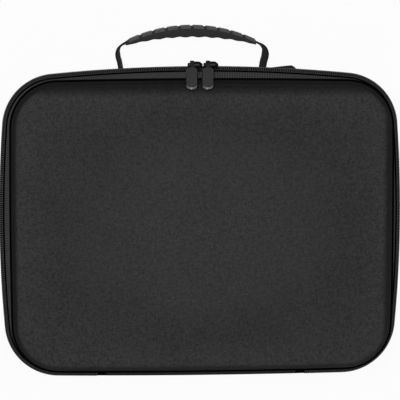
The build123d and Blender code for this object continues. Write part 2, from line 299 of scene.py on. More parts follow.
class Finish:
    """A procedural material on one Principled shader, with coordinates in millimetres."""

    def __init__(self, name, color, roughness, **sockets):
        self.material = bpy.data.materials.new(name)
        self.material.use_nodes = True
        self.tree = self.material.node_tree
        self.surface = self.tree.nodes["Principled BSDF"]
        self.surface.inputs["Base Color"].default_value = (*color, 1.0)
        self.surface.inputs["Roughness"].default_value = roughness
        for socket, value in sockets.items():
            self.surface.inputs[socket.replace("_", " ")].default_value = value

    def node(self, kind, settings, sockets, output=0):
        made = self.tree.nodes.new(kind)
        for key, value in settings.items():
            setattr(made, key, value)
        for key, value in sockets.items():
            if isinstance(value, Strand):
                self.tree.links.new(value.socket, made.inputs[key])
            else:
                made.inputs[key].default_value = value
        return Strand(self, made.outputs[output])

    def feed(self, socket, value):
        self.tree.links.new(value.socket, self.surface.inputs[socket])

    def split(self, vector):
        first = self.node("ShaderNodeSeparateXYZ", {}, {0: vector})
        return [Strand(self, socket) for socket in first.socket.node.outputs]

    def place(self):
        """Position on the resting case, in millimetres."""
        spot = self.node("ShaderNodeTexCoord", {}, {}, "Object")
        return self.node("ShaderNodeVectorMath", {"operation": "SCALE"}, {0: spot, "Scale": 1 / MM})

    def cloth(self):
        """Distance along and across a band, in millimetres."""
        return self.split(self.node("ShaderNodeUVMap", {"uv_map": "cloth"}, {}))[:2]

    def stretch(self, vector, x, y, z):
        return self.node("ShaderNodeVectorMath", {"operation": "MULTIPLY"}, {0: vector, 1: (x, y, z)})

    def noise(self, vector, scale, detail=2.0):
        return self.node("ShaderNodeTexNoise", {}, {"Vector": vector, "Scale": scale, "Detail": detail})

    def blend(self, share, first, second):
        """Colour between two colours, by a share of the second."""
        sockets = {"Factor": share, 6: self.solid(first), 7: self.solid(second)}
        return self.node("ShaderNodeMix", {"data_type": "RGBA"}, sockets, 2)

    def solid(self, color):
        return color if isinstance(color, Strand) else (*color, 1.0)

    def bump(self, height, depth, strength=1.0):
        sockets = {"Height": height, "Distance": depth * MM, "Strength": strength}
        self.feed("Normal", self.node("ShaderNodeBump", {}, sockets))


def grey(level, tint=1.05):
    """A neutral dark tone with a little more blue."""
    return (level, level, level * tint)


def shell_fabric():
    """Charcoal polyester with a fine heathered plain weave; painted shade darkens the lid's rolled edge and
    bands along the top and right of its face.
    """
    finish = Finish("shell_fabric", grey(0.033), 0.86, Specular_IOR_Level=0.08)
    place = finish.place()
    x, y, z = finish.split(place)
    fleck = finish.noise(place, 1.25, 1.0).between(0.36, 0.64)
    warp = finish.noise(finish.stretch(place, 1.6, 0.12, 0.5), 1.0).between(0.3, 0.7)
    weft = finish.noise(finish.stretch(place, 0.12, 1.6, 0.5), 1.0).between(0.3, 0.7)
    drift = finish.noise(place, 0.018, 3.0)
    mottle = finish.noise(place, 0.34, 2.0).between(0.3, 0.7)
    tone = fleck * 0.36 + mottle * 0.24 + warp * 0.15 + weft * 0.15 + drift * 0.2
    # Painted shade: the lid's rolled edge (less so along the bottom) and bands along the top and the right of
    # the lid's face are darkened in the colour, standing in for the shade they fall in.
    low = 1 - y.between(-134.0, -118.0)
    rolled = (z.between(88.0, 104.0) - z.between(110.5, 114.3)) * (0.88 - low * 0.4)
    upper = y.between(115.5, 126.0) * 0.72
    right = x.between(164.0, 171.5) * 0.72
    lid = z.between(100.0, 104.0)
    painted_edge_shade = rolled.most(upper * lid).most(right * lid)
    cloth = finish.blend(tone, grey(0.011), grey(0.050))
    finish.feed("Base Color", finish.blend(painted_edge_shade, cloth, grey(0.003)))
    pick = 0.62
    weave = x.wave(pick) * y.wave(pick) + y.wave(pick) * z.wave(pick) + z.wave(pick) * x.wave(pick)
    finish.feed("Roughness", 0.92 - fleck * 0.12)
    finish.bump(weave * 0.6 + fleck * 0.5, 0.16)
    return finish.material


def lining_fabric():
    """Brushed black lining, a low nap with darker strokes."""
    finish = Finish("lining_fabric", grey(0.014), 0.95, Specular_IOR_Level=0.1)
    place = finish.place()
    nap = finish.noise(place, 2.2, 3.0)
    stroke = finish.noise(finish.stretch(place, 0.05, 0.4, 0.2), 1.0, 3.0)
    finish.feed("Base Color", finish.blend(nap * 0.6 + stroke * 0.4, grey(0.012), grey(0.038)))
    finish.bump(nap, 0.2)
    return finish.material


def ribbed_tape(name, dark, light, rib, depth):
    """Woven tape whose ribs run across it, with fine yarns along it."""
    finish = Finish(name, grey(light), 0.8, Specular_IOR_Level=0.1)
    along, across = finish.cloth()
    ribs = along.wave(rib)
    yarn = across.wave(0.7)
    wear = finish.noise(finish.place(), 0.09, 3.0)
    grain = finish.noise(finish.place(), 1.6, 2.0)
    tone = ribs * 0.5 + grain * 0.35 + wear * 0.25
    finish.feed("Base Color", finish.blend(tone, grey(dark), grey(light)))
    finish.feed("Roughness", 0.9 - ribs * 0.18)
    finish.bump(ribs * 0.8 + yarn * 0.2, depth)
    return finish.material


def nylon_teeth():
    """Satin black nylon with random scuffs; painted shade darkens the rear half's teeth below the zip line.
    """
    finish = Finish("nylon_teeth", grey(0.02), 0.42, Specular_IOR_Level=0.3)
    place = finish.place()
    scuff = finish.noise(place, 0.5, 4.0)
    x, y, z = finish.split(place)
    rubbed = finish.blend(scuff, grey(0.024), grey(0.078))
    # Painted shade: the teeth below the zip line, on the rear half, are darkened in the colour, standing in
    # for the shade they lie in.
    painted_rear_shade = 1 - z.between(ZIP_Z + 0.1, ZIP_Z + 0.9)
    finish.feed("Base Color", finish.blend(painted_rear_shade * 0.8, rubbed, grey(0.004)))
    finish.feed("Roughness", 0.3 + scuff * 0.25)
    finish.bump(finish.noise(place, 3.0), 0.05)
    return finish.material


def black_piping():
    """Matte black cord cover with a tight twill; its near-zero colour, darker than black cloth, is partly
    painted shade for the seam's groove.
    """
    finish = Finish("black_piping", grey(0.001), 0.9, Specular_IOR_Level=0.02)
    along, across = finish.cloth()
    twill = (along + across).wave(0.9)
    # The cord is black; the colour's extra darkness is painted shade for the groove of the seam.
    finish.feed("Base Color", finish.blend(twill, grey(0.0004), grey(0.0016)))
    finish.bump(twill, 0.08)
    return finish.material


def black_enamel():
    """Gloss black enamel on cast zinc, with fine handling marks."""
    finish = Finish("black_enamel", grey(0.003), 0.12, Specular_IOR_Level=0.08)
    place = finish.place()
    haze = finish.noise(place, 0.7, 4.0)
    scratch = finish.noise(finish.stretch(place, 0.3, 4.0, 1.2), 1.0, 2.0).between(0.6, 0.72)
    finish.feed("Base Color", finish.blend(haze, grey(0.002), grey(0.006)))
    finish.feed("Roughness", 0.06 + haze * 0.08 + scratch * 0.1)
    finish.bump(haze, 0.02)
    return finish.material


def tab_rubber():
    """Moulded soft rubber with a fine spark texture, a dusty bloom and a painted highlight on the bevelled
    rim at the tip.
    """
    finish = Finish("tab_rubber", grey(0.026), 0.55, Specular_IOR_Level=0.4)
    place = finish.place()
    grain = finish.noise(place, 2.5, 2.0)
    bloom = finish.noise(place, 0.12, 4.0)
    along, across = finish.cloth()
    # Painted highlight: the bevelled rim round the tab's tip is paler in the colour, standing in for the
    # light it catches.
    rim = across.between(1.2, 1.6) - across.between(2.7, 3.2)
    tip = along.between(0.5, 3.5) - along.between(10.5, 13.5)
    base_rubber = finish.blend(grain * 0.4 + bloom * 0.6, grey(0.008), grey(0.017))
    finish.feed("Base Color", finish.blend(rim * tip, base_rubber, grey(0.11)))
    field = across.between(3.2, 3.9)
    finish.feed("Roughness", 0.26 + field * 0.42 + bloom * 0.06)
    finish.bump(grain, 0.05)
    return finish.material


def grip_rubber(name, dark, light, roughness):
    """Moulded rubber with a fine spark texture and a dusty bloom."""
    finish = Finish(name, grey(light), roughness, Specular_IOR_Level=0.3)
    place = finish.place()
    grain = finish.noise(place, 2.0, 2.0)
    bloom = finish.noise(place, 0.12, 4.0)
    finish.feed("Base Color", finish.blend(grain * 0.4 + bloom * 0.6, grey(dark), grey(light)))
    finish.feed("Roughness", roughness + bloom * 0.12)
    finish.bump(grain, 0.06)
    return finish.material


def brushed_foam():
    """Brushed loop cover over die-cut foam."""
    finish = Finish("brushed_foam", grey(0.018), 0.96, Specular_IOR_Level=0.1)
    place = finish.place()
    loop = finish.noise(place, 1.1, 3.0)
    patch = finish.noise(place, 0.035, 3.0)
    finish.feed("Base Color", finish.blend(loop * 0.6 + patch * 0.4, grey(0.016), grey(0.050)))
    finish.bump(loop, 0.35)
    return finish.material


def knit_elastic():
    """Knitted elastic: fine lengthwise ribs with a crosswise stitch."""
    finish = Finish("knit_elastic", grey(0.03), 0.85, Specular_IOR_Level=0.15)
    along, across = finish.cloth()
    cord = along.wave(1.9)
    stitch = across.wave(1.1)
    finish.feed("Base Color", finish.blend(cord * 0.6 + stitch * 0.4, grey(0.014), grey(0.056)))
    finish.bump(cord * 0.7 + cord * stitch * 0.5, 0.25)
    return finish.material


def pocket_net():
    """Open net with round holes on a diagonal lattice."""
    finish = Finish("pocket_net", grey(0.014), 0.8)
    x, y, z = finish.split(finish.place())
    first = (x + y).wave(3.4)
    second = (x - y).wave(3.4)
    web = first * second
    finish.feed("Alpha", 1 - web.between(0.30, 0.36))
    finish.feed("Base Color", finish.blend(first, grey(0.030), grey(0.060)))
    finish.bump(web, 0.3)
    return finish.material


def sewing_thread():
    """Black polyester thread with a ply twist."""
    finish = Finish("sewing_thread", grey(0.016), 0.6)
    x, y, z = finish.split(finish.place())
    ply = (x + y + z).wave(0.5)
    finish.feed("Base Color", finish.blend(ply, grey(0.008), grey(0.026)))
    finish.bump(ply, 0.1)
    return finish.material


SHELL = shell_fabric()
LINING = lining_fabric()
TAPE = ribbed_tape("zipper_tape", 0.014, 0.064, 2.3, 0.3)
BINDING = ribbed_tape("edge_binding", 0.006, 0.020, 1.0, 0.15)
HINGE_CLOTH = ribbed_tape("hinge_cloth", 0.010, 0.030, 1.2, 0.2)
WEBBING = ribbed_tape("webbing_weave", 0.006, 0.022, 1.6, 0.35)
TEETH = nylon_teeth()
PIPING = black_piping()
ENAMEL = black_enamel()
TAB_RUBBER = tab_rubber()
GRIP_RUBBER = grip_rubber("grip_rubber", 0.008, 0.022, 0.74)
# A paler copy of the grip rubber: painted highlight for the lit top of the grip.
GRIP_TOP_HIGHLIGHT = grip_rubber("grip_top_highlight", 0.035, 0.085, 0.5)
FOAM = brushed_foam()
ELASTIC = knit_elastic()
NET = pocket_net()
THREAD = sewing_thread()


# Lid
AROUND = RING.round(480)
CROWN_HALF_WIDTH = 167.5
CROWN_HALF_HEIGHT = 125.0
# The rolled edge from the seam to the face: how far in, and how far below the face
ROLLED_EDGE = [
    (0.3, 8.8), (1.0, 7.1), (2.0, 5.1), (3.0, 3.3), (4.0, 1.8),
    (4.8, 0.95), (5.6, 0.42), (6.6, 0.14), (8.0, 0.03), (9.5, 0.0),
]


def lid_cover():
    """Moulded lid: flared side, piping groove, rolled edge and a crowned face."""
    rows = [
        RING.loop(AROUND, LID_INSET + 2, LID_LIP_Z + 0.05),
        RING.loop(AROUND, LID_INSET, LID_LIP_Z + 0.05),
        PANEL.loop(AROUND, 0.0, SEAM_Z),
        PANEL.loop(AROUND, 0.7, SEAM_Z + 0.3),
        PANEL.loop(AROUND, 0.7, PIPING_TOP_Z - 0.5),
        PANEL.loop(AROUND, 0.25, PIPING_TOP_Z - 0.1),
        PANEL.loop(AROUND, 0.0, PIPING_TOP_Z + 0.4),
    ]
    for inset, below in ROLLED_EDGE:
        rows.append(PANEL.loop(AROUND, inset, FACE_Z - below))
    flat_from = len(rows)
    for inset in (12.0, 17.0, 24.0, 32.0):
        rows.append(PANEL.loop(AROUND, inset, FACE_Z))
    edge = rows[-1]
    middle = np.array([0.0, -PANEL_DROP, FACE_Z])
    for share in (0.85, 0.65, 0.45, 0.25, 0.1, 0.02):
        rows.append(middle + (edge - middle) * share)
    grid = np.array(rows)
    flat = grid[flat_from:]
    bow_x = 1 - np.minimum(np.abs(flat[..., 0]) / CROWN_HALF_WIDTH, 1) ** 2
    bow_y = 1 - np.minimum(np.abs(flat[..., 1] + PANEL_DROP) / CROWN_HALF_HEIGHT, 1) ** 2
    flat[..., 2] += FACE_CROWN * bow_x * bow_y
    piece = skin("lid_cover", grid, SHELL, "lid", wrap=True, caps=(len(grid) - 1,))
    return piece


def lid_lining():
    """Brushed lining inside the lid."""
    rows = [
        RING.loop(AROUND, LID_CAVITY_INSET - 2.5, LID_LIP_Z + 0.05),
        RING.loop(AROUND, LID_CAVITY_INSET, LID_LIP_Z + 0.05),
        LID_INSIDE.loop(AROUND, WALL, SEAM_Z),
        LID_INSIDE.loop(AROUND, WALL, FACE_Z - WALL - 4),
        LID_INSIDE.loop(AROUND, WALL + 1.2, FACE_Z - WALL - 1.2),
        LID_INSIDE.loop(AROUND, WALL + 4, FACE_Z - WALL),
        LID_INSIDE.loop(AROUND, 30.0, FACE_Z - WALL),
    ]
    edge = rows[-1]
    middle = np.array([0.0, -PANEL_DROP, FACE_Z - WALL])
    rows.extend(middle + (edge - middle) * share for share in (0.7, 0.4, 0.1, 0.01))
    return skin("lid_lining", np.array(rows)[::-1], LINING, "lid", wrap=True, caps=(0,))


cover = lid_cover()
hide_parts("front_shell")
lid_lining()


# Rear half
def rear_rows(inset, floor, roll):
    """Rows of the drafted rear half from its lip down to its floor."""
    start = SHELL_INSET + inset
    rows = [RING.loop(AROUND, start, REAR_LIP_Z), RING.loop(AROUND, start, RIM_Z)]
    for step in range(9):
        turn = DRAFT_ANGLE + (pi / 2 - DRAFT_ANGLE) * step / 8
        z = floor + roll * (1 - sin(turn))
        base = start + (RIM_Z - floor) * DRAFT
        centre = base - roll * DRAFT + roll / cos(DRAFT_ANGLE)
        rows.append(RING.loop(AROUND, centre - roll * cos(turn), z))
    edge = rows[-1]
    middle = np.array([0.0, 0.0, floor])
    rows.extend(middle + (edge - middle) * share for share in (0.8, 0.5, 0.2, 0.01))
    return np.array(rows)


rear_outside = rear_rows(0.0, 0.0, BACK_ROLL)[::-1]
rear_cover = skin("rear_cover", rear_outside, SHELL, "rear_case", wrap=True, caps=(0,))
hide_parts("rear_shell")
rear_inside = rear_rows(WALL, WALL, LINING_ROLL)
skin("rear_lining", rear_inside, LINING, "rear_case", wrap=True, caps=(len(rear_inside) - 1,))


# Zipper
TAPE_RUN = RING.even(HINGE_HALF + 0.2, RING.length - HINGE_HALF - 0.2, 520)
CHAIN_START = HINGE_HALF + END_TAB
TOOTH_PITCH = 2.0
TAPE_LOW = 74.0
HINGE_INSET = 1.7


def zipper_tapes():
    """Ribbed tapes: one down the rear wall, one up the lid's slope to the seam."""
    rear = band("rear_tape", [
        (RING, COIL_DEPTH, TAPE_LOW + 0.2), (RING, COIL_DEPTH, 80.0), (RING, COIL_DEPTH, 87.0),
        (RING, COIL_DEPTH + 0.3, 87.6), (RING, SHELL_INSET - 0.02, 87.6),
        (RING, SHELL_INSET - 0.02, TAPE_LOW), (RING, COIL_DEPTH + 0.3, TAPE_LOW),
    ], TAPE_RUN, TAPE, "rear_case")
    front = band("front_tape", [
        (RING, LID_INSET - 0.02, LID_LIP_Z), (RING, SHELL_INSET + 0.34, ZIP_Z + 0.4),
        (RING, COIL_DEPTH + 0.5, ZIP_Z + 0.4), (RING, COIL_DEPTH + 0.75, ZIP_Z + 0.9),
        (RING, COIL_DEPTH + 3.0, ZIP_Z + 3.4), (RING, COIL_DEPTH + 3.75, LID_LIP_Z + 0.3),
        (PANEL, -0.9, SEAM_Z - 0.3), (PANEL, -0.6, SEAM_Z), (PANEL, -0.02, SEAM_Z),
    ], TAPE_RUN, TAPE, "lid")
    for piece, node in ((rear, "rear_zipper_tape"), (front, "front_zipper_tape")):
        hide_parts(node)


def tooth_places(shift):
    """Places of the teeth, evenly spaced between the two end tabs; shift is a share of their pitch."""
    start = CHAIN_START + 0.5
    run = RING.length - 2 * start
    count = round(run / TOOTH_PITCH)
    step = run / count
    return RING.even(start + shift * step, start + (count - 1 + shift) * step, count)


def tooth_row(name, slope, reach, shift, body, node):
    """One half of the chain: spoon-shaped teeth whose heads pass between those of the other half.

    slope is the half's way down from the zip line, inward and up.
    """
    places = tooth_places(shift)
    count = len(places)
    root = RING.loop(places, 0.1, ZIP_Z)
    outward = RING.outward(places)
    along = np.stack([-outward[:, 1], outward[:, 0], np.zeros(count)], axis=1)
    inward, rise = np.array(slope) / hypot(*slope)
    up = np.array([0.0, 0.0, 1.0])
    away = up * rise - outward * inward
    proud = outward * abs(rise) + up * inward * np.sign(rise)
    shape = [
        (-0.32, reach), (-0.36, 1.1), (-0.55, 0.1), (-0.36, -0.5),
        (0.36, -0.5), (0.55, 0.1), (0.36, 1.1), (0.32, reach),
    ]
    layers = [(-1.7, 1.0), (-0.35, 1.0), (-0.02, 0.62)]
    points = []
    for depth, share in layers:
        for across, distance in shape:
            far = reach / 2 + (distance - reach / 2) * (0.85 + 0.15 * share)
            points.append(root + proud * depth + along * (across * share) + away * far)
    points = np.stack(points, axis=1).reshape(-1, 3)
    size = len(shape)
    pattern = []
    for low, high in ((0, size), (size, 2 * size)):
        for one in range(size):
            two = (one + 1) % size
            pattern.append([low + one, low + two, high + two, high + one])
    pattern.append(list(range(2 * size, 3 * size)))
    pattern.append(list(reversed(range(size))))
    if rise < 0:
        pattern = [face[::-1] for face in pattern]
    faces = [[corner + number * 3 * size for corner in face] for number in range(count) for face in pattern]
    piece = make_object(name, points, faces, TEETH, body, smooth=False)
    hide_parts(node)


def face_piping():
    """Round cord cover in the seam under the rolled edge."""
    middle_z = (SEAM_Z + PIPING_TOP_Z) / 2
    profile = [(PANEL, across - 0.6, middle_z - lift) for across, lift in oval(1.35, 0.8, 8)]
    piece = band("seam_piping", profile, AROUND, PIPING, "lid", wrap=True)
    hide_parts("face_piping")


def rim_bindings():
    """Edge tapes folded over the lips of both halves."""
    inner = CAVITY_INSET + 0.8
    rear = band("rear_binding", [
        (RING, SHELL_INSET + 0.3, REAR_LIP_Z + 0.8), (RING, SHELL_INSET, REAR_LIP_Z + 0.4),
        (RING, SHELL_INSET, REAR_LIP_Z), (RING, CAVITY_INSET, REAR_LIP_Z), (RING, CAVITY_INSET, TAPE_LOW),
        (RING, inner - 0.2, TAPE_LOW), (RING, inner, TAPE_LOW + 0.4), (RING, inner, REAR_LIP_Z),
        (RING, inner - 0.4, REAR_LIP_Z + 0.7), (RING, inner - 1.0, REAR_LIP_Z + 0.8),
    ], AROUND, BINDING, "rear_case", wrap=True)
    front = band("front_binding", [
        (RING, LID_INSET, LID_LIP_Z), (RING, LID_INSET, LID_LIP_Z - 0.5),
        (RING, LID_INSET + 0.3, LID_LIP_Z - 0.8), (RING, LID_CAVITY_INSET - 0.3, LID_LIP_Z - 0.8),
        (RING, LID_CAVITY_INSET, LID_LIP_Z - 0.5), (RING, LID_CAVITY_INSET, LID_LIP_Z),
    ], AROUND, BINDING, "lid", wrap=True)
    for piece, node in ((rear, "rear_rim_binding"), (front, "front_rim_binding")):
        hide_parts(node)


def end_tabs():
    """Folded fabric tabs over the chain's two ends."""
    for side, begin in (("right", HINGE_HALF), ("left", RING.length - HINGE_HALF - END_TAB + 0.2)):
        places = RING.even(begin, begin + END_TAB - 0.2, 9)
        piece = band(side + "_end_tab", [
            (RING, 1.65, ZIP_Z - 0.2), (RING, 0.5, ZIP_Z - 0.3), (RING, 0.2, ZIP_Z - 1.0),
            (RING, 0.2, 76.6), (RING, 0.5, 76.0), (RING, 1.65, 76.0),
        ], places, BINDING, "rear_case")
        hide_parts(side + "_zipper_end_tab")


def hinge_strip():
    """Cloth hinge along the bottom, sewn to both halves."""
    places = np.concatenate([
        RING.even(RING.length - HINGE_HALF, RING.length, 40, closed=True), RING.even(0, HINGE_HALF, 41),
    ])
    outer = [(RING, 1.9, TAPE_LOW), (RING, HINGE_INSET, TAPE_LOW + 0.5)]
    outer += [
        (RING, HINGE_INSET - bulge, z)
        for z, bulge in ((78.0, 0.1), (81.0, 0.3), (83.0, 0.7), (84.5, 1.1), (86.0, 1.45), (87.0, 1.55))
    ]
    outer += [
        (RING, HINGE_INSET - bulge + CHAIN_SLOPE * rise, ZIP_Z + rise)
        for rise, bulge in ((0.3, 1.5), (1.0, 1.4), (2.0, 1.1), (3.0, 0.7), (4.0, 0.4))
    ]
    outer += [(PANEL, -1.15, SEAM_Z - 0.5), (PANEL, -0.9, SEAM_Z - 0.1)]
    inner = [(PANEL, -0.05, SEAM_Z - 0.1)]
    inner += [(RING, SHELL_INSET - 0.05 + CHAIN_SLOPE * rise, ZIP_Z + rise) for rise in (4.0, 2.0, 1.0, 0.3)]
    inner += [(RING, SHELL_INSET - 0.05, z) for z in (87.0, 86.0, 84.0, TAPE_LOW)]
    piece = band("hinge_cloth", (outer + inner)[::-1], places, HINGE_CLOTH, None)
    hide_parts("hinge_strip")
    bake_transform(piece)


def chain_shade_bed():
    """Black band under the lid's half of the chain, a dark sheet that stands in for the shade in the gaps
    between the teeth, and the thread that sews the coil down.
    """
    # Painted shade: this black band darkens the gaps between the teeth.
    bed = band("chain_shade_bed", [
        (RING, 2.4, 88.3), (RING, 0.45, 88.1), (RING, 1.4, 88.9), (RING, 4.2, 91.6), (RING, 5.0, 91.6),
    ], TAPE_RUN, PIPING, "lid")
    marks = [RING.loop(tooth_places(shift), 3.3, 91.1) for shift in (0.2, 0.75)]
    stitches("chain_stitches", list(zip(*marks)), "lid", 0.55)


zipper_tapes()
chain_shade_bed()
tooth_row("rear_teeth", (0.0, -1.0), 3.7, 0.25, "rear_case", "rear_zipper_coil")
tooth_row("front_teeth", (CHAIN_SLOPE, 1.0), 4.4, 0.75, "lid", "front_zipper_coil")
face_piping()
rim_bindings()
end_tabs()
hinge_strip()


# Sliders and pulls
ZIP_TILT = atan2(CHAIN_SLOPE, 1.0) / 2
ARC_MIDDLE_Y = RING_HALF_HEIGHT - RING_TOP_RADIUS
LEFT_X = -6.45
RIGHT_X = 8.05
BAIL_FORWARD = 4.2
BAIL_LIFT = 5.6
BAIL_STEPS = 12
SLIDER_SHIFT = 1.2
TAB_START = 7.4
TAB_LENGTH = 33.6
TAB_WIDTH = 10.4
TAB_SKEW = radians(3.0)
TAB_SIDESTEP = 2.0
TAB_HALF_THICKNESS = 1.4
TAB_GAP = 0.4
FARTHEST_X = 123.0
BAR_Y = RING_HALF_HEIGHT + BAIL_LIFT * cos(ZIP_TILT) - BAIL_FORWARD * sin(ZIP_TILT)
BAR_Z = ZIP_Z + BAIL_LIFT * sin(ZIP_TILT) + BAIL_FORWARD * cos(ZIP_TILT)


def along_zip(points, x):
    """Carries points from the middle of the top run to a place on its arc."""
    turn = -asin(x / RING_TOP_RADIUS)
    moved = np.array(points, float)
    reach = moved[..., 1] - ARC_MIDDLE_Y
    side = moved[..., 0].copy()
    moved[..., 0] = side * cos(turn) - reach * sin(turn)
    moved[..., 1] = ARC_MIDDLE_Y + side * sin(turn) + reach * cos(turn)
    return moved


def on_slider(points, x):
    """From a slider's own axes, along the zip, forward and out, to the resting case."""
    own = np.array(points, float)
    forward, out = own[..., 1], own[..., 2]
    spot = np.stack([
        own[..., 0] + SLIDER_SHIFT,
        RING_HALF_HEIGHT + out * cos(ZIP_TILT) - forward * sin(ZIP_TILT),
        ZIP_Z + out * sin(ZIP_TILT) + forward * cos(ZIP_TILT),
    ], axis=-1)
    return along_zip(spot, x)


def rounded_outline(width, length, corner, steps):
    """Points round a rounded rectangle about the origin, with their outward directions."""
    points = []
    normals = []
    for quarter in range(4):
        sign_x = (1, -1, -1, 1)[quarter]
        sign_y = (1, 1, -1, -1)[quarter]
        for step in range(steps + 1):
            turn = (quarter + step / steps) * pi / 2
            normal = np.array([cos(turn), sin(turn)])
            centre = np.array([sign_x * (width / 2 - corner), sign_y * (length / 2 - corner)])
            points.append(centre + corner * normal)
            normals.append(normal)
    return np.array(points), np.array(normals)


def tab_outline(inset, end_inset, steps=14):
    """Points round a tab with half-oval ends, set in from its sides and its ends."""
    points = []
    for sign, end, depth in ((1, TAB_START + TAB_LENGTH, 6.6), (-1, TAB_START, 6.0)):
        half = TAB_WIDTH / 2 - inset
        middle = end - sign * depth
        for step in range(steps + 1):
            turn = pi * step / steps
            points.append((sign * half * cos(turn), middle + sign * (depth - end_inset) * sin(turn)))
    return np.array(points)


def tube(path, side, section):
    """Rows of a section swept along a path; side is the section's first direction."""
    path = np.array(path, float)
    side = np.array(side, float)
    ahead = np.gradient(path, axis=0)
    ahead /= np.linalg.norm(ahead, axis=1)[:, None]
    rows = []
    for spot, forward in zip(path, ahead):
        across = np.cross(forward, side)
        across /= np.linalg.norm(across)
        rows.append([spot + side * first + across * second for first, second in section])
    return np.array(rows)


def slider(side, x):
    """Cast slider: a domed plate, an arched bail and a lip towards the lid."""
    outline, outward = rounded_outline(14.0, 10.0, 3.0, 6)
    pinch = 1 - 0.10 * (1 + np.cos(outline[:, 0] / 7.0 * pi)) / 2
    outline[:, 1] *= pinch
    rows = []
    for inset, lift in (
        (0.5, 0.3), (0.1, 0.35), (0.0, 0.7), (0.05, 1.1), (0.35, 1.5), (1.0, 1.8), (2.0, 2.0), (2.9, 2.05),
    ):
        flat = outline - outward * inset
        rows.append(np.column_stack([flat, np.full(len(flat), lift)]))
    body = side + "_slider"
    plate = skin(side + "_slider_plate", on_slider(rows, x), ENAMEL, body, wrap=True, caps=(0, len(rows) - 1))
    path = []
    for step in range(BAIL_STEPS + 1):
        turn = pi - pi * step / BAIL_STEPS
        spread = 4.6 * np.sign(cos(turn)) * abs(cos(turn)) ** 0.5
        arch = BAIL_LIFT - 1.6 + 1.6 * sin(turn) ** 0.7 if 0 < step < BAIL_STEPS else 1.4
        path.append((spread, BAIL_FORWARD, arch))
    arch_rows = on_slider(tube(path, (0.0, 1.0, 0.0), oval(1.2, 0.75)), x)
    bail = skin(side + "_slider_bail", arch_rows, ENAMEL, body, wrap=True, caps=(0, BAIL_STEPS))
    section = [(3.7, -0.9), (5.0, -0.9), (5.0, 0.4), (3.7, 0.4)]
    wing = [[(spread, forward, out) for forward, out in section] for spread in (-4.0, 4.0)]
    lip = skin(side + "_slider_lip", on_slider(wing, x), ENAMEL, body, wrap=True, caps=(0, 1))
    soften(lip, 0.2)
    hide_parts(side + "_slider")


def pull_tab(side, x):
    """Rubber tab with a bevelled rim round a sunk field, moulded on the link."""
    rows = []
    for inset, end_inset, lift in (
        (0.7, 0.9, -1.4), (0.3, 0.4, -1.25), (0.05, 0.1, -1.0), (0.0, 0.0, -0.75), (0.06, 0.12, -0.6),
        (0.5, 1.75, 0.95), (0.75, 2.1, 1.25), (1.0, 2.5, 1.4), (1.4, 2.9, 1.4), (1.8, 3.3, 1.33),
        (2.1, 3.7, 1.12), (2.4, 4.0, 1.05), (3.4, 5.0, 1.05),
    ):
        flat = tab_outline(inset, end_inset)
        flat[:, 0] += flat[:, 1] * tan(TAB_SKEW)
        rows.append(np.column_stack([flat, np.full(len(flat), lift)]))
    rows = np.array(rows)
    spot = np.stack([
        -TAB_SIDESTEP - rows[..., 0],
        BAR_Y - rows[..., 1] * sin(TAB_LEAN) + rows[..., 2] * cos(TAB_LEAN),
        BAR_Z + rows[..., 1] * cos(TAB_LEAN) + rows[..., 2] * sin(TAB_LEAN),
    ], axis=-1)
    last = len(rows) - 1
    piece = skin(side + "_tab", along_zip(spot, x), TAB_RUBBER, side + "_tab", wrap=True, caps=(0, last))
    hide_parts(side + "_pull_tab")


def tab_lean():
    """The angle at which a tab clears the rolled edge, as in the CAD model."""
    inward = BAR_Y - (PANEL_HALF_HEIGHT - PANEL_DROP - FACE_ROLL)
    forward = FACE_Z - FACE_ROLL - BAR_Z
    closing = FARTHEST_X**2 / 2 * (1 / RING_TOP_RADIUS - 1 / PANEL_TOP_RADIUS)
    clear = FACE_ROLL + TAB_HALF_THICKNESS + closing + TAB_GAP
    return atan2(inward, forward) - asin(clear / hypot(inward, forward))


TAB_LEAN = tab_lean()
for side, x in (("left", LEFT_X), ("right", RIGHT_X)):
    slider(side, x)
    pull_tab(side, x)


# Handle
HANDLE_X = -6.0
HANDLE_Z = 46.0
GRIP_MID_Y = 174.4
GRIP_ARC = 180.0
GRIP_HALF = 61.5
GRIP_THICK = 11.2
GRIP_END_THICK = 4.8
GRIP_CUT = 2.0
RIB_PITCH = 12.0
STRAP_FOOT_Y = 138.0
TWISTED_BY_Y = 141.0
PATCH_NEAR = 62.0
PATCH_FAR = 86.0
PATCH_LOW = 33.6
PATCH_HIGH = 58.4
PATCH_THICK = 1.5
# Half of the webbing's section, across and out
WEBBING_HALF = [
    (-8.5, 0.0), (-8.3, 0.6), (-7.6, 0.95), (-4.0, 1.0), (0.0, 1.0), (4.0, 1.0), (7.6, 0.95), (8.3, 0.6),
]
WEBBING_SECTION = WEBBING_HALF + [(-across, -lift) for across, lift in WEBBING_HALF]


def wall_inset(z):
    """Inset of the rear half's drafted wall at a height below the rim."""
    return SHELL_INSET + (RIM_Z - z) * DRAFT


